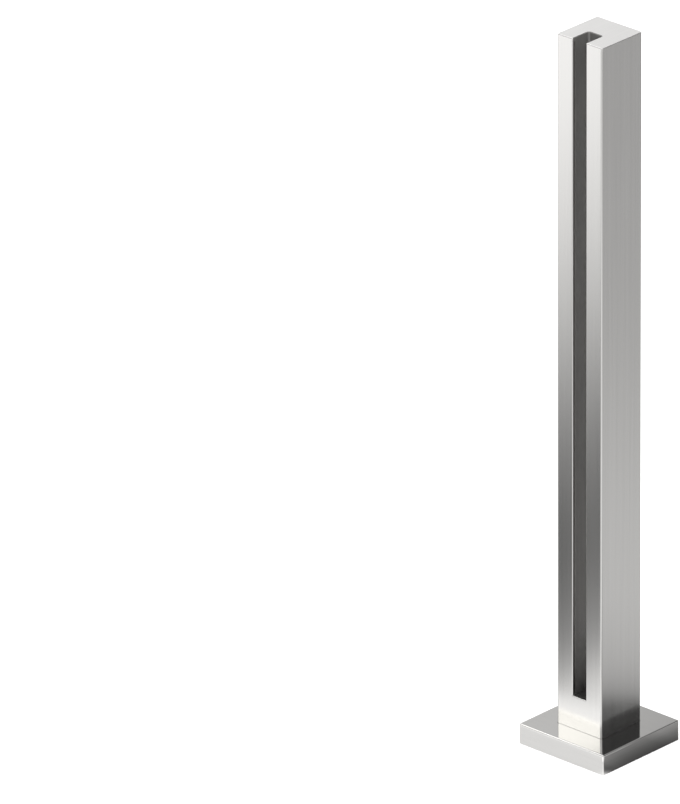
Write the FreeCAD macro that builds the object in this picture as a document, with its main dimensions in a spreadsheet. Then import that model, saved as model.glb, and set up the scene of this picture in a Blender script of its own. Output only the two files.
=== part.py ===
import FreeCAD, Part
import math
import os
import Sketcher

# Glass balustrade post: a slotted square tube on a bolted foot, with a cover that slides over the fixing.
# Millimetres. The origin is on the floor under the middle of the post, Z is up and the slot faces -Y.

driving_sizes = {
    "post_height": 650.0,  # floor to the top of the cap
    "post_width": 50.0,
    "post_wall": 3.0,
    "post_corner_radius": 1.0,
    "slot_width": 15.0,
    "slot_depth": 20.0,  # from the face of the post to the back of the channel
    "slot_foot_height": 49.0,  # floor to the foot of the slot
    "slot_corner_radius": 0.8,
    "rim_radius": 0.7,  # broken edges of the slot's mouth and of the cap
    "channel_sheet": 1.5,
    "channel_bend_radius": 2.0,  # inside the fold
    "end_plate_thickness": 3.0,
    "end_plate_corner_relief": 0.5,  # how much rounder than the channel's fold the plate's corners are
    "cap_thickness": 3.0,
    "flange_width": 20.0,  # how far the base plate stands out round the post
    "base_plate_thickness": 8.0,
    "base_plate_corner_radius": 3.0,
    "bolt_hole_diameter": 9.0,
    "bolt_edge_distance": 11.0,  # edge of the base plate to the middle of a bolt hole
    "weld_leg": 4.0,
    "weld_crown": 0.5,  # how far the bead's face swells past a straight fillet
    "cover_sheet": 1.5,
    "cover_plate_clearance": 1.5,  # base plate to the inside of the cover's skirt
    "cover_post_clearance": 0.2,  # post to the cover's square hole
    "cover_edge_radius": 1.0,
    "bolt_head_room": 9.0,  # top of the base plate to the underside of the cover
}

doc = FreeCAD.newDocument("balustrade_post")
sheet = doc.addObject("Spreadsheet::Sheet", "sizes")
for row, (alias, value) in enumerate(driving_sizes.items(), start=1):
    sheet.set(f"A{row}", alias)
    sheet.set(f"B{row}", str(value))
    sheet.setAlias(f"B{row}", alias)
doc.recompute()

# Places and lengths that several pieces share, worked out from the sheet
post_half = "sizes.post_width / 2"
bore_half = "(sizes.post_width / 2 - sizes.post_wall)"
slot_half = "sizes.slot_width / 2"
slot_back = "(sizes.slot_depth - sizes.post_width / 2)"
slotted_wall_inside = "(sizes.post_wall - sizes.post_width / 2)"
tube_head_height = "(sizes.post_height - sizes.cap_thickness)"
tube_length = "(sizes.post_height - sizes.cap_thickness - sizes.base_plate_thickness)"
channel_foot_height = "(sizes.slot_foot_height - sizes.end_plate_thickness)"
plate_half = "(sizes.post_width / 2 + sizes.flange_width)"
skirt_inside_half = "(sizes.post_width / 2 + sizes.flange_width + sizes.cover_plate_clearance)"
cover_half = f"({skirt_inside_half} + sizes.cover_sheet)"
cover_hole_half = "(sizes.post_width / 2 + sizes.cover_post_clearance)"
cover_inside_height = "(sizes.base_plate_thickness + sizes.bolt_head_room)"
cover_height = f"({cover_inside_height} + sizes.cover_sheet)"

touching_distance = 1e-6
up = FreeCAD.Vector(0, 0, 1)
quarter_turn = 90.0
square_corners = 4
subparts = []


def measure(expression):
    return float(sheet.evalExpression(expression))


def start_subpart(node, height):
    body = doc.addObject("PartDesign::Body", node)
    body.Label = node
    body.setExpression("Placement.Base.z", height)
    subparts.append(body)
    return body


def start_sketch(body, name, plane_role):
    plane = next(item for item in body.Origin.OriginFeatures if item.Role == plane_role)
    sketch = body.newObject("Sketcher::SketchObject", name)
    sketch.AttachmentSupport = [(plane, "")]
    sketch.MapMode = "FlatFace"
    return sketch


def bind(sketch, name, kind, place, expression):
    index = sketch.addConstraint(Sketcher.Constraint(kind, *place, measure(expression)))
    sketch.renameConstraint(index, name)
    sketch.setExpression(f"Constraints.{name}", expression)


def close_outline(sketch, lines):
    for line, following in zip(lines, lines[1:] + lines[:1]):
        sketch.addConstraint(Sketcher.Constraint("Coincident", line, 2, following, 1))


def draw_lines(sketch, corners):
    lines = []
    for corner, following in zip(corners, corners[1:] + corners[:1]):
        segment = Part.LineSegment(FreeCAD.Vector(*corner), FreeCAD.Vector(*following))
        lines.append(sketch.addGeometry(segment))
    close_outline(sketch, lines)
    return lines


def draw_rectangle(sketch, left, right, low, high):
    x_left, x_right, y_low, y_high = (measure(side) for side in (left, right, low, high))
    corners = [(x_left, y_low), (x_right, y_low), (x_right, y_high), (x_left, y_high)]
    bottom, right_side, top, left_side = draw_lines(sketch, corners)
    for line in (bottom, top):
        sketch.addConstraint(Sketcher.Constraint("Horizontal", line))
    for line in (right_side, left_side):
        sketch.addConstraint(Sketcher.Constraint("Vertical", line))
    bind(sketch, "left", "DistanceX", (-1, 1, bottom, 1), left)
    bind(sketch, "low", "DistanceY", (-1, 1, bottom, 1), low)
    bind(sketch, "right", "DistanceX", (-1, 1, top, 1), right)
    bind(sketch, "high", "DistanceY", (-1, 1, top, 1), high)


def draw_square(sketch, half):
    draw_rectangle(sketch, f"-({half})", half, f"-({half})", half)


def add_pad(body, name, sketch, length):
    pad = body.newObject("PartDesign::Pad", name)
    pad.Profile = sketch
    pad.setExpression("Length", length)
    doc.recompute()
    return pad


def add_pocket(body, name, sketch, depth=None):
    uncut_volume = body.Shape.Volume
    pocket = body.newObject("PartDesign::Pocket", name)
    pocket.Profile = sketch
    pocket.Reversed = True
    if depth is None:
        pocket.Type = "ThroughAll"
    else:
        pocket.setExpression("Length", depth)
    doc.recompute()
    if not body.Shape.Volume < uncut_volume:
        raise RuntimeError(f"{body.Label}: {name} cuts nothing")
    return pocket


def edges_through(feature, points):
    names = []
    for index, edge in enumerate(feature.Shape.Edges, start=1):
        for point in points:
            if edge.distToShape(Part.Vertex(*point))[0] < touching_distance:
                names.append(f"Edge{index}")
                break
    return names


def add_fillet(body, name, base, points, radius):
    fillet = body.newObject("PartDesign::Fillet", name)
    fillet.Base = (base, edges_through(base, points))
    fillet.setExpression("Radius", radius)
    doc.recompute()
    return fillet


def four_corners(half, height):
    return [(x, y, height) for x in (-half, half) for y in (-half, half)]


def four_sides(half, height):
    return [(-half, 0, height), (half, 0, height), (0, -half, height), (0, half, height)]


def make_post_tube():
    body = start_subpart("post_tube", "sizes.base_plate_thickness")
    half = measure(post_half)
    length = measure(tube_length)
    outline = start_sketch(body, "tube_outline", "XY_Plane")
    draw_square(outline, post_half)
    bar = add_pad(body, "tube_bar", outline, tube_length)
    long_edges = four_corners(half, length / 2)
    add_fillet(body, "tube_long_edges", bar, long_edges, "sizes.post_corner_radius")
    bore = start_sketch(body, "tube_bore_outline", "XY_Plane")
    draw_square(bore, bore_half)
    add_pocket(body, "tube_bore", bore)

    # The slot runs out through the head of the tube, so its outline stands past it by the cap
    foot = "sizes.slot_foot_height - sizes.base_plate_thickness"
    mouth = start_sketch(body, "slot_outline", "XZ_Plane")
    draw_rectangle(mouth, f"-{slot_half}", slot_half, foot, "sizes.post_height - sizes.base_plate_thickness")
    slot = add_pocket(body, "slot", mouth)
    slot_x = measure(slot_half)
    wall_middle = -half + measure("sizes.post_wall") / 2
    foot_corners = [(-slot_x, wall_middle, measure(foot)), (slot_x, wall_middle, measure(foot))]
    rounded = add_fillet(body, "slot_foot_corners", slot, foot_corners, "sizes.slot_corner_radius")
    rim = [(-slot_x, -half, length / 2), (slot_x, -half, length / 2), (0, -half, measure(foot))]
    add_fillet(body, "slot_rim", rounded, rim, "sizes.rim_radius")


def make_glazing_channel():
    body = start_subpart("glazing_channel", channel_foot_height)
    length = f"({tube_head_height} - {channel_foot_height})"
    middle = measure(length) / 2
    outside_half = f"({slot_half} + sizes.channel_sheet)"
    outside_back = f"({slot_back} + sizes.channel_sheet)"
    outline = start_sketch(body, "channel_outline", "XY_Plane")
    draw_rectangle(outline, f"-{outside_half}", outside_half, slotted_wall_inside, outside_back)
    bar = add_pad(body, "channel_bar", outline, length)
    fold_x = measure(outside_half)
    fold_y = measure(outside_back)
    folds = [(-fold_x, fold_y, middle), (fold_x, fold_y, middle)]
    add_fillet(body, "outer_folds", bar, folds, "sizes.channel_bend_radius + sizes.channel_sheet")
    inside = start_sketch(body, "channel_inside", "XY_Plane")
    draw_rectangle(inside, f"-{slot_half}", slot_half, slotted_wall_inside, slot_back)
    hollow = add_pocket(body, "channel_hollow", inside)
    slot_x = measure(slot_half)
    slot_y = measure(slot_back)
    folds = [(-slot_x, slot_y, middle), (slot_x, slot_y, middle)]
    add_fillet(body, "inner_folds", hollow, folds, "sizes.channel_bend_radius")


def make_channel_end_plate():
    body = start_subpart("channel_end_plate", channel_foot_height)
    outline = start_sketch(body, "end_plate_outline", "XY_Plane")
    draw_rectangle(outline, f"-{slot_half}", slot_half, slotted_wall_inside, slot_back)
    plate = add_pad(body, "end_plate", outline, "sizes.end_plate_thickness")
    slot_x = measure(slot_half)
    slot_y = measure(slot_back)
    middle = measure("sizes.end_plate_thickness") / 2
    back_corners = [(-slot_x, slot_y, middle), (slot_x, slot_y, middle)]
    corner_radius = "sizes.channel_bend_radius + sizes.end_plate_corner_relief"
    add_fillet(body, "end_plate_corners", plate, back_corners, corner_radius)


def make_top_cap():
    body = start_subpart("top_cap", tube_head_height)
    half = measure(post_half)
    thickness = measure("sizes.cap_thickness")
    outline = start_sketch(body, "cap_outline", "XY_Plane")
    draw_square(outline, post_half)
    plate = add_pad(body, "cap_plate", outline, "sizes.cap_thickness")
    corners = four_corners(half, thickness / 2)
    add_fillet(body, "cap_corners", plate, corners, "sizes.post_corner_radius")

    # The notch carries the channel's hollow out through the cap and the face of the post
    notch_outline = start_sketch(body, "notch_outline", "XY_Plane")
    draw_rectangle(notch_outline, f"-{slot_half}", slot_half, "-sizes.post_width", slot_back)
    notch = add_pocket(body, "notch", notch_outline)
    slot_x = measure(slot_half)
    slot_y = measure(slot_back)
    notch_corners = [(-slot_x, slot_y, thickness / 2), (slot_x, slot_y, thickness / 2)]
    rounded = add_fillet(body, "notch_corners", notch, notch_corners, "sizes.channel_bend_radius")
    beside_notch = (slot_x + half) / 2
    notch_middle = (slot_y - half) / 2
    rim = four_sides(half, thickness)[:2] + [(0, half, thickness), (0, slot_y, thickness)]
    for side in (-1, 1):
        rim.append((side * beside_notch, -half, thickness))
        rim.append((side * slot_x, notch_middle, thickness))
        rim.append((side * slot_x, -half, thickness / 2))
    add_fillet(body, "cap_rim", rounded, rim, "sizes.rim_radius")


def make_base_plate():
    body = start_subpart("base_plate", "0")
    outline = start_sketch(body, "base_plate_outline", "XY_Plane")
    draw_square(outline, plate_half)
    plate = add_pad(body, "plate", outline, "sizes.base_plate_thickness")
    corners = four_corners(measure(plate_half), measure("sizes.base_plate_thickness") / 2)
    add_fillet(body, "base_plate_corners", plate, corners, "sizes.base_plate_corner_radius")
    bolt_offset = f"({plate_half} - sizes.bolt_edge_distance)"
    hole_outline = start_sketch(body, "bolt_hole_outline", "XY_Plane")
    centre = FreeCAD.Vector(measure(bolt_offset), measure(bolt_offset))
    circle = hole_outline.addGeometry(Part.Circle(centre, up, measure("sizes.bolt_hole_diameter / 2")))
    bind(hole_outline, "across", "DistanceX", (-1, 1, circle, 3), bolt_offset)
    bind(hole_outline, "along", "DistanceY", (-1, 1, circle, 3), bolt_offset)
    bind(hole_outline, "width", "Diameter", (circle,), "sizes.bolt_hole_diameter")
    hole = add_pocket(body, "bolt_hole", hole_outline)
    holes = body.newObject("PartDesign::PolarPattern", "bolt_holes")
    holes.Originals = [hole]
    holes.Axis = (hole_outline, ["N_Axis"])
    holes.Angle = square_corners * quarter_turn
    holes.Occurrences = square_corners
    body.Tip = holes
    doc.recompute()


def make_foot_weld():
    body = start_subpart("foot_weld", "sizes.base_plate_thickness")
    half = measure(post_half)
    radius = measure("sizes.post_corner_radius")
    leg = measure("sizes.weld_leg")

    # The bead follows the outline of the tube, straight sides joined by the tube's corner arcs
    path = start_sketch(body, "weld_path", "XY_Plane")
    run = half - radius
    pieces = []
    for turn in range(square_corners):
        spin = FreeCAD.Rotation(up, turn * quarter_turn)
        start = spin.multVec(FreeCAD.Vector(half, -run))
        end = spin.multVec(FreeCAD.Vector(half, run))
        pieces.append(path.addGeometry(Part.LineSegment(start, end)))
        centre = spin.multVec(FreeCAD.Vector(run, run))
        corner = Part.Circle(centre, up, radius)
        quarter = math.radians(quarter_turn)
        pieces.append(path.addGeometry(Part.ArcOfCircle(corner, turn * quarter, (turn + 1) * quarter)))
    for piece, following in zip(pieces, pieces[1:] + pieces[:1]):
        path.addConstraint(Sketcher.Constraint("Tangent", piece, 2, following, 1))
    right, first_arc, back, second_arc, left, third_arc, front, fourth_arc = pieces
    for arc in (second_arc, third_arc, fourth_arc):
        path.addConstraint(Sketcher.Constraint("Equal", first_arc, arc))
    path.addConstraint(Sketcher.Constraint("Vertical", right))
    path.addConstraint(Sketcher.Constraint("Horizontal", back))
    bind(path, "right", "DistanceX", (-1, 1, right, 1), post_half)
    bind(path, "left", "DistanceX", (-1, 1, left, 1), f"-{post_half}")
    bind(path, "back", "DistanceY", (-1, 1, back, 1), post_half)
    bind(path, "front", "DistanceY", (-1, 1, front, 1), f"-{post_half}")
    bind(path, "corner", "Radius", (first_arc,), "sizes.post_corner_radius")

    # Its section has one leg on the plate, one up the tube and a swelling face between their ends
    section = start_sketch(body, "weld_section", "XZ_Plane")
    root = FreeCAD.Vector(half, 0)
    toe = FreeCAD.Vector(half + leg, 0)
    top = FreeCAD.Vector(half, leg)
    swell = measure("sizes.weld_crown") * FreeCAD.Vector(1, 1).normalize()
    foot = section.addGeometry(Part.LineSegment(root, toe))
    face = section.addGeometry(Part.Arc(toe, (toe + top) / 2 + swell, top))
    back_leg = section.addGeometry(Part.LineSegment(top, root))
    close_outline(section, [foot, face, back_leg])
    section.addConstraint(Sketcher.Constraint("Horizontal", foot))
    section.addConstraint(Sketcher.Constraint("Vertical", back_leg))
    section.addConstraint(Sketcher.Constraint("PointOnObject", foot, 1, -1))
    bind(section, "root", "DistanceX", (-1, 1, foot, 1), post_half)
    bind(section, "leg_out", "DistanceX", (foot, 1, foot, 2), "sizes.weld_leg")
    bind(section, "leg_up", "DistanceY", (back_leg, 2, back_leg, 1), "sizes.weld_leg")
    face_radius = "(sizes.weld_leg ^ 2 / 2 + sizes.weld_crown ^ 2) / (2 * sizes.weld_crown)"
    bind(section, "face", "Radius", (face,), face_radius)
    doc.recompute()
    bead = body.newObject("PartDesign::AdditivePipe", "weld_bead")
    bead.Profile = section
    bead.Spine = (path, [])
    bead.Transition = "Round corner"
    doc.recompute()


def make_base_cover():
    body = start_subpart("base_cover", "0")
    half = measure(cover_half)
    height = measure(cover_height)
    outline = start_sketch(body, "cover_outline", "XY_Plane")
    draw_square(outline, cover_half)
    block = add_pad(body, "cover_block", outline, cover_height)
    outer_edges = four_corners(half, height / 2) + four_sides(half, height)
    add_fillet(body, "cover_outer_edges", block, outer_edges, "sizes.cover_edge_radius")
    inside = start_sketch(body, "cover_inside", "XY_Plane")
    draw_square(inside, skirt_inside_half)
    add_pocket(body, "cover_hollow", inside, cover_inside_height)
    hole_outline = start_sketch(body, "post_hole_outline", "XY_Plane")
    draw_square(hole_outline, cover_hole_half)
    hole = add_pocket(body, "post_hole", hole_outline)
    hole_corners = four_corners(measure(cover_hole_half), height - measure("sizes.cover_sheet") / 2)
    hole_radius = "sizes.post_corner_radius + sizes.cover_post_clearance"
    add_fillet(body, "post_hole_corners", hole, hole_corners, hole_radius)


make_post_tube()
make_glazing_channel()
make_channel_end_plate()
make_top_cap()
make_base_plate()
make_foot_weld()
make_base_cover()
doc.recompute()

for item in doc.Objects:
    if "Invalid" in item.State or "Error" in item.State:
        raise RuntimeError(f"{item.Label} failed to build")
for body in subparts:
    if body.Shape.isNull() or not body.Shape.isValid():
        raise RuntimeError(f"{body.Label} has no valid solid")
    print(body.Label, "volume", round(body.Shape.Volume, 1), "solids", len(body.Shape.Solids))

os.makedirs("parts", exist_ok=True)
for body in subparts:
    body.Shape.exportStep(f"parts/{body.Label}.step")
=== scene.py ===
import bmesh
import bpy
import math
from mathutils import Matrix, Vector


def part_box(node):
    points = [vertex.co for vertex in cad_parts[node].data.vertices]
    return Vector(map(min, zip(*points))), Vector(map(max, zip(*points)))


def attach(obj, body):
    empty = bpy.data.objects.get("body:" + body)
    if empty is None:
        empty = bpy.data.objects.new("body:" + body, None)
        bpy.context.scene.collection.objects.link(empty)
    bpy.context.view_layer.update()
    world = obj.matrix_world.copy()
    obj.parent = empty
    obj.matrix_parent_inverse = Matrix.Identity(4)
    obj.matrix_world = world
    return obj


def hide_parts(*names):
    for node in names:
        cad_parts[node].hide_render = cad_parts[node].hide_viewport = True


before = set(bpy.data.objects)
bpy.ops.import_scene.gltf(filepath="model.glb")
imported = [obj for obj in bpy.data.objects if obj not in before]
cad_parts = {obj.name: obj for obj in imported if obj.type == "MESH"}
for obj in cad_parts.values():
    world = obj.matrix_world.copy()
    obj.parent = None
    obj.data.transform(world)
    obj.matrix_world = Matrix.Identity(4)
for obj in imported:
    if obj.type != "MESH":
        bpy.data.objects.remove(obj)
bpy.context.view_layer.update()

# Places that several pieces share, read from the solids
tubeLow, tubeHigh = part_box("post_tube")
capLow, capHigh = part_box("top_cap")
channelLow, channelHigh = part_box("glazing_channel")
sillLow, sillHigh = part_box("channel_end_plate")
plateLow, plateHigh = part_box("base_plate")
weldLow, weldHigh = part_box("foot_weld")
coverLow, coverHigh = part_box("base_cover")
postHalf = tubeHigh.x
slotHalf = sillHigh.x
slotBack = sillHigh.y
slotFoot = sillHigh.z
wallInside = sillLow.y


class Wire:
    # a node's output that adds, scales and compares like a number
    def __init__(self, tree, socket=None):
        self.tree = tree
        self.socket = socket

    def plug(self, target):
        self.tree.links.new(self.socket, target)

    def node(self, kind, settings=None, sockets=None, output=0):
        made = self.tree.nodes.new(kind)
        for name, value in (settings or {}).items():
            if name == "stops":
                setStops(made.color_ramp, value)
            else:
                setattr(made, name, value)
        for name, value in (sockets or {}).items():
            if isinstance(value, Wire):
                value.plug(made.inputs[name])
            else:
                made.inputs[name].default_value = value
        return Wire(self.tree, made.outputs[output])

    def output(self, which):
        return Wire(self.tree, self.socket.node.outputs[which])

    def split(self):
        first = self.node("ShaderNodeSeparateXYZ", None, {"Vector": self})
        return [first.output(axis) for axis in range(3)]

    def maths(self, operation, first, second=0.0):
        return self.node("ShaderNodeMath", {"operation": operation}, {0: first, 1: second})

    def size(self):
        return self.maths("ABSOLUTE", self)

    def larger(self, other):
        return self.maths("MAXIMUM", self, other)

    def mix(self, low, high):  # sockets 6 and 7 and output 2 are the ones for colours
        return self.node("ShaderNodeMix", {"data_type": "RGBA"}, {0: self, 6: low, 7: high}, 2)

    def stretch(self, scale):
        return self.node("ShaderNodeMapping", None, {"Vector": self, "Scale": scale})

    def noise(self, scale, detail=2.0, roughness=0.5):
        sockets = {"Vector": self, "Scale": scale, "Detail": detail, "Roughness": roughness}
        return self.node("ShaderNodeTexNoise", None, sockets)

    def __add__(self, other):
        return self.maths("ADD", self, other)

    def __sub__(self, other):
        return self.maths("SUBTRACT", self, other)

    def __rsub__(self, other):
        return self.maths("SUBTRACT", other, self)

    def __mul__(self, other):
        return self.maths("MULTIPLY", self, other)

    def __truediv__(self, other):
        return self.maths("DIVIDE", self, other)

    def __rtruediv__(self, other):
        return self.maths("DIVIDE", other, self)

    def __pow__(self, other):
        return self.maths("POWER", self, other)

    def __rpow__(self, other):
        return self.maths("POWER", other, self)

    def __gt__(self, other):
        return self.maths("GREATER_THAN", self, other)

    def __lt__(self, other):
        return self.maths("LESS_THAN", self, other)

    __radd__ = __add__
    __rmul__ = __mul__


# A stop is a place with a grey level, or with a colour and how much of it shows
def setStops(ramp, stops):
    while len(ramp.elements) < len(stops):
        ramp.elements.new(1.0)
    for element, (place, colour) in zip(ramp.elements, stops):
        element.position = place
        element.color = colour if isinstance(colour, tuple) else (colour, colour, colour, 1.0)


# A level that follows a run of (distance, level) stops
def profile(along, stops):
    reach = stops[-1][0]
    most = max(level for at, level in stops)
    scaled = [(at / reach, level / most) for at, level in stops]
    return along.node("ShaderNodeValToRGB", {"stops": scaled}, {"Fac": along / reach}) * most


# A level that holds, turns to another between start and end, and holds again
def fade(along, start, end, reach, near=1.0, far=0.0):
    return profile(along, [(0.0, near), (start, near), (end, far), (reach, far)])


def grey(level, warmth=0.006):
    return (level * (1 + warmth), level, level * (1 - warmth), 1.0)


def startFinish(name, constants):
    material = bpy.data.materials.new(name)
    material.use_nodes = True
    tree = material.node_tree
    shader = tree.nodes["Principled BSDF"]
    for socket, value in constants.items():
        shader.inputs[socket].default_value = value
    place = Wire(tree).node("ShaderNodeTexCoord", output="Object")
    return material, shader, place


noiseMiddle = 0.5  # a noise swings about this
brushSizes = {
    "detail": 3.0, "breakUp": 0.55, "hairTone": 0.35, "streakTone": 0.4, "cloudTone": 0.25,
    "hairHeight": 0.6, "streakHeight": 0.4,
}


# Brushing: one noise as fine as a hairline and one broad, both drawn out along the grain
def hairlines(place, grain, sizes):
    drawn = []
    for kind in ("hair", "streak"):
        along = sizes[kind + "Along"]
        across = sizes[kind + "Across"]
        scale = [along if axis == grain else across for axis in "XYZ"]
        drawn.append(place.stretch(scale).noise(1.0, brushSizes["detail"], brushSizes["breakUp"]))
    return drawn


# A stain's alpha says how much of it covers the bare steel. In the channel the stain and the patches are
# painted shade
def dressSteel(shader, place, hair, streak, sizes, stain=None, patches=()):
    cloud = place.noise(sizes["cloud"], brushSizes["detail"])
    brushed = hair * brushSizes["hairTone"] + streak * brushSizes["streakTone"]
    tone = brushed + cloud * brushSizes["cloudTone"]
    colour = tone.mix(sizes["dark"], sizes["light"])
    for mask, shade in patches:
        colour = mask.mix(colour, shade)
    if stain:
        colour = stain.output("Alpha").mix(colour, stain)
    colour.plug(shader.inputs["Base Color"])
    rough = (tone - noiseMiddle) * sizes["roughSpread"] + sizes["rough"]
    rough.plug(shader.inputs["Roughness"])
    height = hair * brushSizes["hairHeight"] + streak * brushSizes["streakHeight"]
    bump = {"Height": height, "Strength": sizes["bump"], "Distance": sizes["bumpDepth"]}
    place.node("ShaderNodeBump", None, bump).plug(shader.inputs["Normal"])


# Heat colours beside a weld, from blue at the bead to straw and then bare steel
heatColours = [
    (0.0, (0.17, 0.17, 0.21, 0.75)),
    (0.22, (0.28, 0.20, 0.15, 0.7)),
    (0.5, (0.52, 0.41, 0.25, 0.5)),
    (1.0, (0.60, 0.56, 0.48, 0.0)),
]
# Painted shade at the foot of the slot, darkest at the sill
footShadeColours = [
    (0.0, (0.2, 0.195, 0.19, 0.55)),
    (0.5, (0.24, 0.235, 0.23, 0.3)),
    (1.0, (0.3, 0.295, 0.29, 0.0)),
]
stainSizes = {"cloud": 170.0, "wander": 0.5}


# A stain thins out with distance, and its edge wanders; in the slot the same spread is painted shade at its
# foot
def spreadStainAndShade(place, distance, reach, colours):
    cloud = place.noise(stainSizes["cloud"], brushSizes["detail"])
    wander = (cloud - noiseMiddle) * stainSizes["wander"]
    return place.node("ShaderNodeValToRGB", {"stops": colours}, {"Fac": distance / reach + wander})


postSteel = {
    "hairAcross": 1500.0, "hairAlong": 8.0, "streakAcross": 420.0, "streakAlong": 4.0, "cloud": 7.0,
    "dark": grey(0.58), "light": grey(0.74),
    "rough": 0.205, "roughSpread": 0.14, "bump": 0.1, "bumpDepth": 0.0003, "heatReach": 0.006,
}


def makeBrushedPost():
    material, shader, place = startFinish("brushedPost", {"Metallic": 1.0})
    hair, streak = hairlines(place, "Z", postSteel)
    height = place.split()[2]
    stain = spreadStainAndShade(place, height - weldHigh.z, postSteel["heatReach"], heatColours)
    dressSteel(shader, place, hair, streak, postSteel, stain)
    return material


capSteel = {
    "hairAcross": 1400.0, "hairAlong": 16.0, "streakAcross": 380.0, "streakAlong": 9.0, "cloud": 24.0,
    "dark": grey(0.7), "light": grey(0.885),
    "rough": 0.42, "roughSpread": 0.14, "bump": 0.08, "bumpDepth": 0.0003, "metal": 0.72,
}


def makeGroundCap():
    material, shader, place = startFinish("groundCap", {"Metallic": capSteel["metal"]})
    hair, streak = hairlines(place, "Y", capSteel)
    dressSteel(shader, place, hair, streak, capSteel)
    return material


coverSteel = {
    "hairAcross": 1700.0, "hairAlong": 14.0, "streakAcross": 300.0, "streakAlong": 8.0, "cloud": 16.0,
    "dark": grey(0.62), "light": grey(0.78),
    "rough": 0.075, "roughSpread": 0.07, "bump": 0.03, "bumpDepth": 0.0003, "turnedFrom": 0.7,
}


# The cover's grain runs along each of its sides, so it turns on the two that face X
def makePolishedCover():
    material, shader, place = startFinish("polishedCover", {"Metallic": 1.0})
    turned = place.output("Normal").split()[0].size() > coverSteel["turnedFrom"]
    alongX = hairlines(place, "X", coverSteel)
    alongY = hairlines(place, "Y", coverSteel)
    hair, streak = [turned * second + (1 - turned) * first for first, second in zip(alongX, alongY)]
    dressSteel(shader, place, hair, streak, coverSteel)
    return material


channelSteel = {
    "hairAcross": 900.0, "hairAlong": 40.0, "streakAcross": 260.0, "streakAlong": 7.0, "cloud": 26.0,
    # mouth, back, sill and head hold the colours of painted shade in the slot's recess
    "dark": grey(0.62, 0.008), "light": grey(0.755, 0.008), "mouth": grey(0.55, 0.008),
    "back": grey(0.29, 0.008), "sill": grey(0.23, 0.008), "head": grey(0.36, 0.008),
    "rough": 0.62, "roughSpread": 0.14, "bump": 0.05, "bumpDepth": 0.0003, "footShadeReach": 0.062,
    "mouthFade": (0.003, 0.01, 0.02), "headRun": [(0.0, 0.0), (0.54, 0.0), (0.6, 0.45)], "faceFall": 3.0,
}


# The sheet's colour carries painted shade: it is darker behind the mouth and at its head, and its back and
# the sill are darker than its sides
def makeDullChannelPaintedShade():
    material, shader, place = startFinish("dullChannelPaintedShade", {"Metallic": 1.0})
    hair, streak = hairlines(place, "Z", channelSteel)
    depth, height = place.split()[1:]
    facing, level = place.output("Normal").split()[1:]
    # each patch lays painted shade over the steel: behind the mouth, at the head, on the back and on the
    # sill
    patches = (
        (fade(depth - wallInside, *channelSteel["mouthFade"]), channelSteel["mouth"]),
        (profile(height - slotFoot, channelSteel["headRun"]), channelSteel["head"]),
        (facing.size() ** channelSteel["faceFall"], channelSteel["back"]),
        (level.size() ** channelSteel["faceFall"], channelSteel["sill"]),
    )
    # painted shade at the foot of the slot, laid on as a stain
    stain = spreadStainAndShade(place, height - slotFoot, channelSteel["footShadeReach"], footShadeColours)
    dressSteel(shader, place, hair, streak, channelSteel, stain, patches)
    return material


plateSteel = {
    "hairAcross": 620.0, "hairAlong": 240.0, "streakAcross": 150.0, "streakAlong": 50.0, "cloud": 45.0,
    "dark": grey(0.36, 0.01), "light": grey(0.68, 0.01),
    "rough": 0.36, "roughSpread": 0.3, "bump": 0.16, "bumpDepth": 0.0003, "heatReach": 0.009,
}


def makeMillPlate():
    material, shader, place = startFinish("millPlate", {"Metallic": 1.0})
    hair, streak = hairlines(place, "X", plateSteel)
    x, y = place.split()[:2]
    fromBead = x.size().larger(y.size()) - weldHigh.x
    stain = spreadStainAndShade(place, fromBead, plateSteel["heatReach"], heatColours)
    dressSteel(shader, place, hair, streak, plateSteel, stain)
    return material


beadSteel = {
    "hairAcross": 700.0, "hairAlong": 700.0, "streakAcross": 120.0, "streakAlong": 120.0, "cloud": 60.0,
    "dark": grey(0.34, 0.03), "light": grey(0.66, 0.03),
    "rough": 0.3, "roughSpread": 0.25, "bump": 0.2, "bumpDepth": 0.0002, "drift": 95.0, "driftSpread": 2.0,
}
beadColours = [
    (0.0, (0.20, 0.20, 0.27, 0.7)),
    (0.35, (0.36, 0.27, 0.20, 0.6)),
    (0.7, (0.58, 0.47, 0.30, 0.45)),
    (1.0, (0.60, 0.58, 0.54, 0.1)),
]


def makeWeldBead():
    material, shader, place = startFinish("weldBead", {"Metallic": 1.0})
    hair, streak = hairlines(place, "Z", beadSteel)
    drift = place.noise(beadSteel["drift"], brushSizes["detail"])
    heat = (drift - noiseMiddle) * beadSteel["driftSpread"] + noiseMiddle
    stain = place.node("ShaderNodeValToRGB", {"stops": beadColours}, {"Fac": heat})
    dressSteel(shader, place, hair, streak, beadSteel, stain)
    return material


brushedPost = makeBrushedPost()
groundCap = makeGroundCap()
polishedCover = makePolishedCover()
dullChannelPaintedShade = makeDullChannelPaintedShade()
millPlate = makeMillPlate()
weldBead = makeWeldBead()
print("finishes ready")


def arc(centre, radius, fromDegrees, toDegrees, steps):
    points = []
    for step in range(steps + 1):
        angle = math.radians(fromDegrees + (toDegrees - fromDegrees) * step / steps)
        points.append((centre[0] + radius * math.cos(angle), centre[1] + radius * math.sin(angle)))
    return points


# A square ring with rounded corners, level at one height
def squareLoop(half, radius, height, steps):
    points = []
    for turn in range(4):
        spin = Matrix.Rotation(turn * math.pi / 2, 2)
        centre = spin @ Vector((half - radius, half - radius))
        points += arc(centre, radius, 90 * turn, 90 * turn + 90, steps)
    return [(x, y, height) for x, y in points]


# The weights' layer comes before the first edge, because making it later drops what is held
def startMesh():
    bm = bmesh.new()
    bm.edges.layers.float.new("bevel_weight_edge")
    return bm


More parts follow.
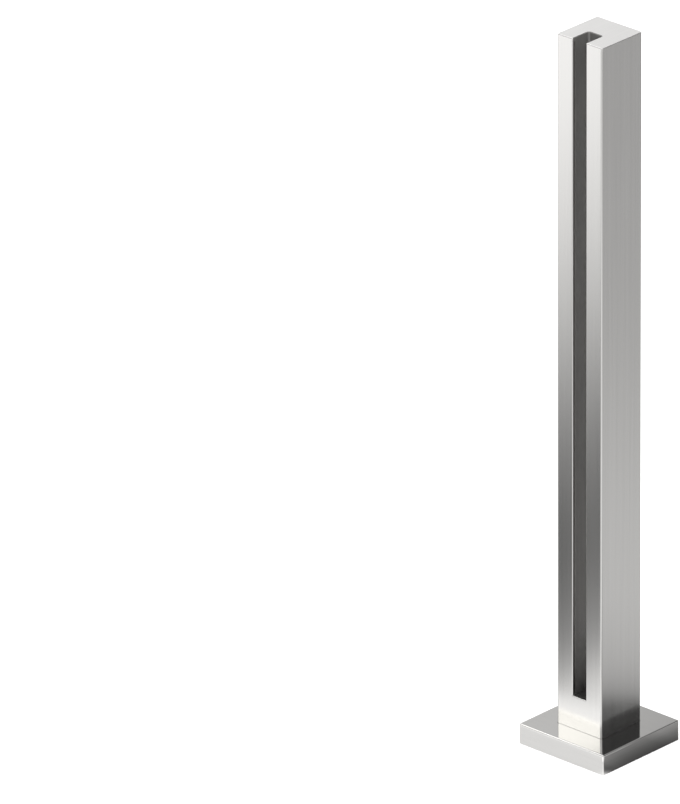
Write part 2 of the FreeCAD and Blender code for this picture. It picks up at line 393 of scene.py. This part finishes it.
def bridge(bm, loops, closed):
    rings = [[bm.verts.new(point) for point in loop] for loop in loops]
    pairs = list(zip(rings, rings[1:]))
    if closed:
        pairs.append((rings[-1], rings[0]))
    for lower, upper in pairs:
        for index in range(len(lower)):
            following = (index + 1) % len(lower)
            bm.faces.new((lower[index], lower[following], upper[following], upper[index]))
    return rings


def extrude(bm, outline, low, high):
    loops = [[(x, y, height) for x, y in outline] for height in (low, high)]
    lower, upper = bridge(bm, loops, False)
    bm.faces.new(lower[::-1])
    bm.faces.new(upper)
    return lower, upper


def chainEdges(bm, verts):
    return [bm.edges.get(pair) for pair in zip(verts, verts[1:])]


def weigh(bm, edges, weight):
    layer = bm.edges.layers.float["bevel_weight_edge"]
    for edge in edges:
        edge[layer] = weight


def placePiece(name, mesh):
    piece = bpy.data.objects.new(name, mesh)
    bpy.context.scene.collection.objects.link(piece)
    return piece


# Turns live modifiers into a plain mesh and ties the piece to its solid
def settlePiece(piece, body, node):
    ready = piece.evaluated_get(bpy.context.evaluated_depsgraph_get())
    mesh = bpy.data.meshes.new_from_object(ready)
    piece.modifiers.clear()
    piece.data = mesh
    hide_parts(node)
    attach(piece, body)
    return piece


edgeSizes = {"smoothLimit": math.radians(32), "mergeDistance": 1e-7, "flatWeight": 100}


# Edges are rounded by their weight, and flat faces stay flat in the light
def finishPiece(name, bm, material, body, node, bevelWidth=0.0, bevelSteps=1):
    bmesh.ops.remove_doubles(bm, verts=bm.verts, dist=edgeSizes["mergeDistance"])
    bmesh.ops.recalc_face_normals(bm, faces=bm.faces)
    mesh = bpy.data.meshes.new(name)
    bm.to_mesh(mesh)
    bm.free()
    mesh.shade_smooth()
    mesh.set_sharp_from_angle(angle=edgeSizes["smoothLimit"])
    mesh.materials.append(material)
    piece = placePiece(name, mesh)
    if bevelWidth:
        rounding = piece.modifiers.new("rounding", "BEVEL")
        rounding.limit_method = "WEIGHT"
        rounding.width = bevelWidth
        rounding.segments = bevelSteps
    flatness = piece.modifiers.new("flatness", "WEIGHTED_NORMAL")
    flatness.keep_sharp = True
    flatness.weight = edgeSizes["flatWeight"]
    return settlePiece(piece, body, node)


tubeSizes = {"cornerRadius": 0.0013, "rimRadius": 0.0008, "slotCornerRadius": 0.0008, "steps": 5}


def makePostTube():
    bm = startMesh()
    low = tubeLow.z
    head = tubeHigh.z
    bore = -wallInside
    radius = tubeSizes["slotCornerRadius"]
    steps = tubeSizes["steps"]
    # the slot's edge, from its left head down round its foot and up to its right head
    slotEdge = [(-slotHalf, head)]
    slotEdge += arc((radius - slotHalf, slotFoot + radius), radius, 180, 270, steps)
    slotEdge += arc((slotHalf - radius, slotFoot + radius), radius, 270, 360, steps)
    slotEdge += [(slotHalf, head)]

    def drawWall(half):
        square = [(-half, -half), (half, -half), (half, half), (-half, half)]
        foot = [bm.verts.new((x, y, low)) for x, y in square]
        top = [bm.verts.new((x, y, head)) for x, y in square]
        rim = [bm.verts.new((x, -half, z)) for x, z in slotEdge]
        bm.faces.new([foot[0], foot[1], top[1]] + rim[::-1] + [top[0]])
        for left, right in ((1, 2), (2, 3), (3, 0)):
            bm.faces.new((foot[left], foot[right], top[right], top[left]))
        return foot, top, rim

    foot, top, rim = drawWall(postHalf)
    innerFoot, innerTop, innerRim = drawWall(bore)
    for side in range(4):
        following = (side + 1) % 4
        bm.faces.new((foot[side], foot[following], innerFoot[following], innerFoot[side]))
        if side:  # the slotted wall's head is two short runs, made below
            bm.faces.new((top[side], top[following], innerTop[following], innerTop[side]))
    bm.faces.new((top[0], rim[0], innerRim[0], innerTop[0]))
    bm.faces.new((rim[-1], top[1], innerTop[1], innerRim[-1]))
    for index in range(len(rim) - 1):
        bm.faces.new((rim[index], rim[index + 1], innerRim[index + 1], innerRim[index]))
    weigh(bm, [bm.edges.get(pair) for pair in zip(foot, top)], 1.0)
    weigh(bm, chainEdges(bm, rim), tubeSizes["rimRadius"] / tubeSizes["cornerRadius"])
    finishPiece("postTube", bm, brushedPost, "post", "post_tube",
                tubeSizes["cornerRadius"], steps)


capSizes = {
    "cornerRadius": 0.0013, "rimRadius": 0.0008, "notchRadius": 0.002,
    "steps": 5, "notchSteps": 8, "rimSteps": 4, "topFrom": 0.2, "flatFrom": 0.99,
}


def makeTopCap():
    bm = startMesh()
    radius = capSizes["cornerRadius"]
    inset = postHalf - radius
    bend = capSizes["notchRadius"]
    outline = [(slotHalf, -postHalf)]
    for turn, (across, along) in enumerate(((1, -1), (1, 1), (-1, 1), (-1, -1))):
        centre = (across * inset, along * inset)
        outline += arc(centre, radius, 90 * turn - 90, 90 * turn, capSizes["steps"])
    outline += [(-slotHalf, -postHalf)]
    outline += arc((bend - slotHalf, slotBack - bend), bend, 180, 90, capSizes["notchSteps"])
    outline += arc((slotHalf - bend, slotBack - bend), bend, 90, 0, capSizes["notchSteps"])
    lower, upper = extrude(bm, outline, capLow.z, capHigh.z)
    rim = chainEdges(bm, upper + upper[:1])
    mouth = []
    for pair in zip(lower, upper):
        corner = pair[0].co
        if abs(corner.x) < slotHalf + radius and corner.y < radius - postHalf:
            mouth.append(bm.edges.get(pair))
    weigh(bm, rim + mouth, 1.0)
    cap = finishPiece("topCap", bm, brushedPost, "post", "top_cap",
                      capSizes["rimRadius"], capSizes["rimSteps"])
    finishes = cap.data.materials
    finishes.append(groundCap)
    finishes.append(dullChannelPaintedShade)
    # the cap's sides are brushed with the post, its top is ground, and its notch takes the channel's dull
    # finish and painted shade
    for face in cap.data.polygons:
        besideNotch = abs(face.center.x) < slotHalf + radius
        inNotch = besideNotch and radius - postHalf < face.center.y < slotBack + radius
        if inNotch and face.normal.z < capSizes["flatFrom"]:
            face.material_index = finishes.find(dullChannelPaintedShade.name)
        elif face.normal.z > capSizes["topFrom"]:
            face.material_index = finishes.find(groundCap.name)


channelSizes = {"bend": 0.002, "cornerRelief": 0.0005, "steps": 8}


def makeGlazingChannel():
    bm = startMesh()
    bend = channelSizes["bend"]
    steps = channelSizes["steps"]
    sheet = channelHigh.x - slotHalf
    left = (bend - slotHalf, slotBack - bend)
    right = (slotHalf - bend, slotBack - bend)
    outline = [(-slotHalf - sheet, wallInside)]
    outline += arc(left, bend + sheet, 180, 90, steps)
    outline += arc(right, bend + sheet, 90, 0, steps)
    outline += [(slotHalf + sheet, wallInside), (slotHalf, wallInside)]
    outline += arc(right, bend, 0, 90, steps)
    outline += arc(left, bend, 90, 180, steps)
    outline += [(-slotHalf, wallInside)]
    extrude(bm, outline, channelLow.z, channelHigh.z)
    finishPiece("glazingChannel", bm, dullChannelPaintedShade, "post", "glazing_channel")


def makeChannelEndPlate():
    bm = startMesh()
    radius = channelSizes["bend"] + channelSizes["cornerRelief"]
    steps = channelSizes["steps"]
    outline = [(-slotHalf, wallInside), (slotHalf, wallInside)]
    outline += arc((slotHalf - radius, slotBack - radius), radius, 0, 90, steps)
    outline += arc((radius - slotHalf, slotBack - radius), radius, 90, 180, steps)
    extrude(bm, outline, sillLow.z, sillHigh.z)
    finishPiece("channelEndPlate", bm, dullChannelPaintedShade, "post", "channel_end_plate")


plateSizes = {
    "cornerRadius": 0.003, "holeRadius": 0.0045, "holeEdge": 0.011, "edgeBreak": 0.0004, "steps": 8,
}


def makeBasePlate():
    bm = startMesh()
    edge = plateSizes["edgeBreak"]
    half = plateHigh.x
    corner = plateSizes["cornerRadius"]
    steps = plateSizes["steps"]
    low, high = plateLow.z, plateHigh.z
    outside = [
        squareLoop(half - edge, corner - edge, low, steps),
        squareLoop(half, corner, low + edge, steps),
        squareLoop(half, corner, high - edge, steps),
        squareLoop(half - edge, corner - edge, high, steps),
    ]
    walls = [bridge(bm, outside, False)]
    radius = plateSizes["holeRadius"]
    offset = half - plateSizes["holeEdge"]
    holeSection = ((radius + edge, low), (radius, low + edge), (radius, high - edge), (radius + edge, high))
    for centre in ((-offset, -offset), (offset, -offset), (offset, offset), (-offset, offset)):
        loops = []
        for size, height in holeSection:
            circle = arc(centre, size, 0, 360, 4 * steps)[:-1]
            loops.append([(x, y, height) for x, y in circle])
        walls.append(bridge(bm, loops, False))
    for level in (0, -1):
        edges = []
        for rings in walls:
            edges += chainEdges(bm, rings[level] + rings[level][:1])
        bmesh.ops.triangle_fill(bm, edges=edges, use_beauty=True)
    finishPiece("basePlate", bm, millPlate, "post", "base_plate")


weldSizes = {
    "crown": 0.0005, "cornerRadius": 0.0013, "cornerSteps": 6, "faceSteps": 10,
    "pathStep": 0.0003, "ripples": 112.0, "rippleDepth": 0.00035, "rippleLag": 0.45,
    "unevenScale": 420.0, "halfFace": 0.21,  # half the face's share of the section, the legs take the rest
}
beadInputs = ("Path Half", "Path Corner", "Path Step", "Ripples", "Ripple Depth", "Ripple Lag")


# The bead is a section swept round the foot of the tube, with ripples that bow back at its toes
def weldTree():
    tree = bpy.data.node_groups.new("weldBead", "GeometryNodeTree")
    tree.interface.new_socket("Section", in_out="INPUT", socket_type="NodeSocketGeometry")
    for name in beadInputs:
        tree.interface.new_socket(name, in_out="INPUT", socket_type="NodeSocketFloat")
    tree.interface.new_socket("Finish", in_out="INPUT", socket_type="NodeSocketMaterial")
    tree.interface.new_socket("Bead", in_out="OUTPUT", socket_type="NodeSocketGeometry")
    given = Wire(tree).node("NodeGroupInput")
    half, corner, step, ripples, depth, lag = [given.output(name) for name in beadInputs]

    square = given.node("GeometryNodeCurvePrimitiveQuadrilateral", None, {
        "Width": half * 2.0, "Height": half * 2.0,
    })
    rounded = given.node("GeometryNodeFilletCurve", {"mode": "POLY"}, {
        "Curve": square, "Count": weldSizes["cornerSteps"], "Radius": corner,
    })
    even = given.node("GeometryNodeResampleCurve", {"mode": "LENGTH"}, {"Curve": rounded, "Length": step})
    level = given.node("GeometryNodeSetCurveNormal", {"mode": "Z_UP"}, {"Curve": even})
    outline = given.node("GeometryNodeMeshToCurve", None, {"Mesh": given.output("Section")})
    share = given.node("GeometryNodeSplineParameter")

    def label(curve, name):
        return given.node("GeometryNodeStoreNamedAttribute", {"data_type": "FLOAT", "domain": "POINT"}, {
            "Geometry": curve, "Name": name, "Value": share,
        })

    def read(name):
        return given.node("GeometryNodeInputNamedAttribute", {"data_type": "FLOAT"}, {"Name": name})

    bead = given.node("GeometryNodeCurveToMesh", None, {
        "Curve": label(level, "along"), "Profile Curve": label(outline, "across"),
    })
    fromMiddle = (read("across") - 0.5) / weldSizes["halfFace"]
    onFace = (1.0 - fromMiddle * fromMiddle).larger(0.0)
    phase = (read("along") * ripples - fromMiddle * fromMiddle * lag) * math.pi
    place = given.node("GeometryNodeInputPosition")
    uneven = place.noise(weldSizes["unevenScale"]) + noiseMiddle
    dip = (1.0 - given.maths("SINE", phase).size()) * onFace * depth * uneven
    offset = given.node("ShaderNodeVectorMath", {"operation": "SCALE"}, {
        "Vector": given.node("GeometryNodeInputNormal"), "Scale": dip * -1.0,
    })
    outward = given.node("GeometryNodeFlipFaces", None, {"Mesh": bead})  # the sweep leaves them facing in
    rippled = given.node("GeometryNodeSetPosition", None, {"Geometry": outward, "Offset": offset})
    smooth = given.node("GeometryNodeSetShadeSmooth", None, {"Geometry": rippled})
    whole = given.node("GeometryNodeRealizeInstances", None, {"Geometry": smooth})
    sockets = {"Geometry": whole, "Material": given.output("Finish")}
    dressed = given.node("GeometryNodeSetMaterial", None, sockets)
    dressed.plug(tree.nodes.new("NodeGroupOutput").inputs["Bead"])
    return tree


def setInputs(modifier, values):
    for item in modifier.node_group.interface.items_tree:
        if item.in_out == "INPUT" and item.name in values:
            modifier[item.identifier] = values[item.name]


def makeFootWeld():
    leg = weldHigh.x - postHalf
    crown = weldSizes["crown"]
    faceRadius = (leg * leg / 2 + crown * crown) / (2 * crown)
    # the face's centre lies on the line from the root through the middle of the face
    centre = leg / 2 - (faceRadius - crown) * math.sqrt(0.5)
    opening = math.degrees(math.asin(leg * math.sqrt(0.5) / faceRadius))
    face = arc((centre, centre), faceRadius, 45 - opening, 45 + opening, weldSizes["faceSteps"])
    bm = bmesh.new()
    section = [bm.verts.new((out, -up, 0.0)) for out, up in [(0.0, 0.0)] + face]
    for start, end in zip(section, section[1:] + section[:1]):
        bm.edges.new((start, end))
    mesh = bpy.data.meshes.new("footWeld")
    bm.to_mesh(mesh)
    bm.free()
    piece = placePiece("footWeld", mesh)
    sweep = piece.modifiers.new("sweep", "NODES")
    sweep.node_group = weldTree()
    setInputs(sweep, {
        "Path Half": postHalf, "Path Corner": weldSizes["cornerRadius"], "Path Step": weldSizes["pathStep"],
        "Ripples": weldSizes["ripples"], "Ripple Depth": weldSizes["rippleDepth"],
        "Ripple Lag": weldSizes["rippleLag"], "Finish": weldBead,
    })
    settlePiece(piece, "post", "foot_weld")
    piece.data.transform(Matrix.Translation((0.0, 0.0, weldLow.z)))


coverSizes = {
    "sheet": 0.0015, "edgeRadius": 0.0013, "postClearance": 0.0002, "holeCorner": 0.0012,
    "edgeBreak": 0.0001, "steps": 6,
}


def makeBaseCover():
    bm = startMesh()
    sheet = coverSizes["sheet"]
    edge = coverSizes["edgeBreak"]
    radius = coverSizes["edgeRadius"]
    hole = postHalf + coverSizes["postClearance"]
    holeCorner = coverSizes["holeCorner"]
    outside = coverHigh.x
    inside = outside - sheet
    low, high = coverLow.z, coverHigh.z
    # one turn round the sheet's section: half width, height, corner radius
    section = [(hole, high - edge, holeCorner), (hole + edge, high, holeCorner + edge)]
    for out, up in reversed(arc((outside - radius, high - radius), radius, 0, 90, coverSizes["steps"])):
        section.append((out, up, out - outside + radius))
    section += [(outside, low + edge, radius), (outside - edge, low, radius - edge)]
    section += [(inside + edge, low, edge), (inside, low + edge, 0.0), (inside, high - sheet, 0.0)]
    section += [(hole + edge, high - sheet, holeCorner + edge), (hole, high - sheet + edge, holeCorner)]
    loops = [squareLoop(half, corner, height, coverSizes["steps"]) for half, height, corner in section]
    bridge(bm, loops, True)
    finishPiece("baseCover", bm, polishedCover, "cover", "base_cover")


makePostTube()
makeTopCap()
makeGlazingChannel()
makeChannelEndPlate()
makeBasePlate()
makeFootWeld()
makeBaseCover()
print("pieces ready")


# The stage is a pale floor in a light room. Steel shows what it reflects, so reflections alone also see a
# floor card, a dome and a soft box.
stageSizes = {
    "floorReach": 40.0, "cardReach": 2.4, "cardDrop": 0.0015, "closeReach": 0.12, "segments": 64,
    "tint": (0.994, 0.98), "roomLight": 2.0, "nearlyNothing": 1e-9,
}
floorPaint = {"rough": 0.9, "cloud": 3.0, "dark": grey(0.93, 0.0), "light": grey(0.95, 0.0)}
# The light comes from four quarters, which face the corners of the post. Straight out from its faces, and
# behind it on the floor, the light is even. These are the powers that bound the camera's quarter, and where
# one light gives way to the next.
quarterSizes = {
    "open": 2.0, "narrow": 135.0, "narrowEdges": (0.1, 0.3), "farLean": (0.56, 0.83),
    "straightEdges": (0.25, 0.6), "behindEdges": (0.2, 0.5), "backFrom": -0.12,
}
# Runs of (metres, level): close runs by the distance out from the middle of the base, floor runs by the
# distance out on a quarter's own line, wall runs by height
# By the base the close runs drop low: a painted shadow of the base on the floor card, darkest on the far
# side, where the floor run stays low a little further out
closeRuns = {
    "slotSide": [
        (0.0, 0.45), (0.048, 0.45), (0.0497, 0.62), (0.0512, 0.96), (0.077, 0.985), (0.0785, 1.6),
        (0.12, 1.48),
    ],
    "farSide": [
        (0.0, 0.03), (0.048, 0.05), (0.0495, 0.09), (0.0555, 0.115), (0.0615, 0.155), (0.0735, 0.27),
        (0.0765, 0.27), (0.0768, 0.03), (0.12, 0.03),
    ],
    "cameraSide": [(0.0, 1.35), (0.12, 1.35)],
}
# Where a close run gives way to the floor run, and that to the even light straight out from a face
closeEdges = {"slotSide": (0.079, 0.108), "farSide": (0.0768, 0.084), "cameraSide": (0.08, 0.1)}
evenEdges = {"slotSide": (0.13, 0.21), "farSide": (0.085, 0.1), "cameraSide": (0.13, 0.21)}
floorRuns = {
    "slotSide": [
        (0.0, 1.35), (0.05, 1.12), (0.09, 0.88), (0.125, 0.56), (0.16, 0.37), (0.22, 0.235),
        (0.28, 0.18), (0.35, 0.2), (0.45, 0.31), (0.57, 0.6), (0.72, 0.96), (0.9, 1.3), (1.04, 1.56),
        (1.15, 1.56), (1.4, 1.1), (2.4, 0.8),
    ],
    "farSide": [
        (0.0, 0.05), (0.085, 0.065), (0.095, 0.1), (0.103, 0.14), (0.111, 0.23), (0.12, 0.33),
        (0.131, 0.43), (0.16, 0.54), (0.205, 0.63), (0.32, 0.72), (0.5, 0.71), (0.7, 0.63),
        (0.95, 0.56), (1.4, 0.51), (2.4, 0.47),
    ],
    "cameraSide": [(0.0, 1.35), (0.3, 1.3), (0.8, 1.15), (1.4, 0.95), (2.4, 0.8)],
    "even": [(0.0, 0.75), (0.3, 0.58), (0.8, 0.7), (1.6, 0.8), (2.4, 0.7)],
}
wallRuns = {
    "slotSide": [(0.0, 0.75), (0.4, 0.7), (0.7, 0.4), (1.4, 0.4), (1.9, 0.6), (2.4, 0.75)],
    "farSide": [
        (0.0, 0.6), (0.2, 0.58), (0.42, 0.4), (0.6, 0.1), (0.72, 0.047), (1.5, 0.047), (1.9, 0.3),
        (2.4, 0.75),
    ],
    "cameraSide": [(0.0, 0.95), (0.9, 0.95), (2.4, 0.75)],
    "backSide": [
        (0.0, 0.9), (0.5, 0.85), (0.75, 0.7), (0.85, 0.63), (1.1, 0.63), (1.4, 0.5), (1.9, 0.5),
        (2.4, 0.75),
    ],
    "even": [(0.0, 0.72), (0.5, 0.64), (1.0, 0.6), (1.8, 0.68), (2.4, 0.75)],
}
# Behind the post the light also changes from side to side
backTurn = [(0.0, 0.78), (0.045, 0.84), (0.08, 1.07), (0.12, 1.1), (1.2, 1.1)]
# On the far side the close floor also changes along the skirt that reflects it
skirtFrom = -0.06
skirtRun = [
    (0.0, 0.95), (0.027, 0.96), (0.035, 1.15), (0.054, 0.94), (0.073, 0.88), (0.092, 0.93), (0.112, 1.33),
    (0.14, 1.35),
]
# A pale strip on the far side that only edges reflect, past the floor that the post's side does
paleStrip = {
    "level": 0.9, "lean": 1.11, "start": 0.068, "end": 0.085,
    "outRun": [(0.0, 0.0), (0.0768, 0.0), (0.078, 1.0), (0.11, 1.0), (0.2, 0.0)],
}
# A soft lamp on the dome lights the edges that face up and out on the slot's side
edgeLamp = {"at": (-1.465, -0.4, 1.86), "start": 0.35, "end": 0.55, "reach": 5.0, "level": 1.95}
# The soft box shines straight down, and lights the foot of the slotted face by way of the cover's top
softBox = {
    "at": (-0.215, -0.25, 0.16), "size": (0.14, 0.13), "power": 0.117, "cream": (1.0, 0.985, 0.92),
}


def startGlow(name):
    material = bpy.data.materials.new(name)
    material.use_nodes = True
    tree = material.node_tree
    tree.nodes.remove(tree.nodes["Principled BSDF"])
    return material, Wire(tree).node("ShaderNodeTexCoord", output="Object")


def addShine(material, place, glow):
    green, blue = stageSizes["tint"]
    colour = place.node("ShaderNodeCombineXYZ", None, {"X": glow, "Y": glow * green, "Z": glow * blue})
    shine = place.node("ShaderNodeEmission", None, {"Color": colour})
    shine.plug(material.node_tree.nodes["Material Output"].inputs["Surface"])


def distanceOut(x, y):
    return (x * x + y * y + stageSizes["nearlyNothing"]) ** 0.5  # never nothing, as others divide by it


# How far a place lies towards the slot's quarter and towards the camera's, each from -1 to 1
def bearings(x, y, reach):
    diagonal = math.sqrt(0.5)
    slotward = (x + y) * -diagonal / reach
    cameraward = (x - y) * diagonal / reach
    return slotward, cameraward


# Each quarter claims a share of the light, by how far a place lies towards its corner of the post
def quarterShares(slotward, cameraward, narrow):
    lobe = cameraward.size() ** narrow
    turn = profile(slotward - quarterSizes["backFrom"], backTurn)
    return {
        "slotSide": (1.0 - lobe) * (slotward > 0.0),
        "farSide": (1.0 - lobe) * (slotward < 0.0),
        "cameraSide": lobe * (cameraward > 0.0),
        "backSide": lobe * (cameraward < 0.0) * turn,
    }


# How far a place lies straight out from a face of the post
def straightOut(x, y, reach):
    askew = (x * y).size() * 2.0 / (reach * reach)
    return fade(askew, *quarterSizes["straightEdges"], 1.0)


def paleShare(x, y, beside):
    along = x * paleStrip["lean"] - y
    share = fade(along, paleStrip["start"], paleStrip["end"], stageSizes["cardReach"], 0.0, 1.0)
    return share * profile(beside, paleStrip["outRun"])


def makeFloorGlow():
    material, place = startGlow("floorGlow")
    x, y = place.split()[:2]
    reach = distanceOut(x, y)
    beside = x.size().larger(y.size())
    slotward, cameraward = bearings(x, y, reach)
    straight = straightOut(x, y, reach)
    inFront = fade(cameraward * -1.0, *quarterSizes["behindEdges"], 1.0)
    # close to the post the camera's quarter narrows, so that each face keeps its own light
    cardReach = stageSizes["cardReach"]
    edges = quarterSizes["narrowEdges"]
    narrow = fade(reach, *edges, cardReach, quarterSizes["narrow"], quarterSizes["open"])
    shares = quarterShares(slotward, cameraward, narrow)
    leanX, leanY = quarterSizes["farLean"]
    away = {"slotSide": x * -1.0, "farSide": x * leanX + y * leanY, "cameraSide": reach}
    glow = 0.0
    claimed = 0.0
    for quarter in closeRuns:
        close = fade(beside, *closeEdges[quarter], stageSizes["closeReach"])
        level = profile(beside, closeRuns[quarter])
        if quarter == "farSide":
            level = level * profile(y - skirtFrom, skirtRun)
        level = level * close + profile(away[quarter], floorRuns[quarter]) * (1.0 - close)
        if quarter == "farSide":
            pale = paleShare(x, y, beside)
            level = level * (1.0 - pale) + pale * paleStrip["level"]
        even = straight * fade(beside, *evenEdges[quarter], cardReach, 0.0, 1.0)
        claim = shares[quarter] * inFront * (1.0 - even)
        glow = claim * level + glow
        claimed = claim + claimed
    glow = profile(reach, floorRuns["even"]) * (1.0 - claimed) + glow
    addShine(material, place, glow)
    return material


def makeRoomGlow():
    material, place = startGlow("roomGlow")
    x, y, height = place.split()
    reach = distanceOut(x, y)
    slotward, cameraward = bearings(x, y, reach)
    shares = quarterShares(slotward, cameraward, quarterSizes["open"])
    straight = straightOut(x, y, reach)
    glow = profile(height, wallRuns["even"]) * straight
    for quarter, share in shares.items():
        glow = profile(height, wallRuns[quarter]) * share * (1.0 - straight) + glow
    sockets = {0: place, 1: edgeLamp["at"]}
    away = place.node("ShaderNodeVectorMath", {"operation": "DISTANCE"}, sockets, "Value")
    lamp = fade(away, edgeLamp["start"], edgeLamp["end"], edgeLamp["reach"], edgeLamp["level"])
    addShine(material, place, lamp + glow)
    return material


def stagePiece(name, bm, material, seenBy):
    mesh = bpy.data.meshes.new(name)
    bm.to_mesh(mesh)
    bm.free()
    mesh.materials.append(material)
    item = placePiece(name, mesh)
    for kind in ("camera", "diffuse", "glossy", "transmission", "volume_scatter", "shadow"):
        setattr(item, "visible_" + kind, kind in seenBy)


def makeFloor():
    paleFloor, shader, place = startFinish("paleFloor", {"Roughness": floorPaint["rough"]})
    paint = place.noise(floorPaint["cloud"]).mix(floorPaint["dark"], floorPaint["light"])
    paint.plug(shader.inputs["Base Color"])
    bm = bmesh.new()
    bmesh.ops.create_grid(bm, x_segments=1, y_segments=1, size=stageSizes["floorReach"])
    stagePiece("floor", bm, paleFloor, ("camera", "diffuse", "shadow"))


def makeFloorCard():
    bm = bmesh.new()
    segments = stageSizes["segments"]
    bmesh.ops.create_circle(bm, cap_ends=True, segments=segments, radius=stageSizes["cardReach"])
    bmesh.ops.translate(bm, verts=bm.verts, vec=(0, 0, -stageSizes["cardDrop"]))
    stagePiece("floorCard", bm, makeFloorGlow(), ("glossy",))


def makeRoomDome():
    bm = bmesh.new()
    around = stageSizes["segments"]
    bmesh.ops.create_uvsphere(bm, u_segments=around, v_segments=around // 2, radius=stageSizes["cardReach"])
    stagePiece("roomDome", bm, makeRoomGlow(), ("glossy",))


def makeSoftBox():
    light = bpy.data.lights.new("softBox", "AREA")
    light.shape = "RECTANGLE"
    light.size, light.size_y = softBox["size"]
    light.energy = softBox["power"]
    light.color = softBox["cream"]
    box = bpy.data.objects.new("softBox", light)
    box.location = softBox["at"]
    box.visible_camera = False
    box.visible_diffuse = False
    bpy.context.scene.collection.objects.link(box)


def makeRoomLight():
    world = bpy.data.worlds.new("room")
    world.use_nodes = True
    sockets = world.node_tree.nodes["Background"].inputs
    sockets["Color"].default_value = grey(1.0, 0.0)
    sockets["Strength"].default_value = stageSizes["roomLight"]
    bpy.context.scene.world = world


makeFloor()
makeFloorCard()
makeRoomDome()
makeSoftBox()
makeRoomLight()

# The camera stands where the photograph's did, with a long lens, and puts the post in the same place
cameraSizes = {
    "azimuth": 41.93, "elevation": 23.97, "distance": 12.0, "aimHeight": 0.33,
    "pixelsPerMetre": 1194.0, "postPixel": (599.3, 384.9), "framePixels": (680, 804), "roll": -0.41,
    "clipEnd": 100.0,
}


def makeCamera():
    azimuth = math.radians(cameraSizes["azimuth"])
    elevation = math.radians(cameraSizes["elevation"])
    flat = math.cos(elevation)
    back = Vector((math.sin(azimuth) * flat, -math.cos(azimuth) * flat, math.sin(elevation)))
    right = Vector((math.cos(azimuth), math.sin(azimuth), 0.0))
    up = back.cross(right)
    wide, tall = cameraSizes["framePixels"]
    scale = cameraSizes["pixelsPerMetre"]
    across = (cameraSizes["postPixel"][0] - wide / 2) / scale
    above = (tall / 2 - cameraSizes["postPixel"][1]) / scale
    target = Vector((0.0, 0.0, cameraSizes["aimHeight"]))
    aim = target - right * across - up * above
    data = bpy.data.cameras.new("camera")
    data.lens = data.sensor_width * scale * cameraSizes["distance"] / tall
    data.clip_end = cameraSizes["clipEnd"]
    camera = bpy.data.objects.new("camera", data)
    bpy.context.scene.collection.objects.link(camera)
    camera.location = target + back * cameraSizes["distance"]
    look = (aim - camera.location).to_track_quat("-Z", "Y").to_matrix()
    roll = Matrix.Rotation(math.radians(cameraSizes["roll"]), 3, "Z")
    camera.rotation_euler = (look @ roll).to_euler()
    bpy.context.scene.camera = camera


makeCamera()
bpy.context.scene.view_settings.view_transform = "Standard"
print("stage ready")
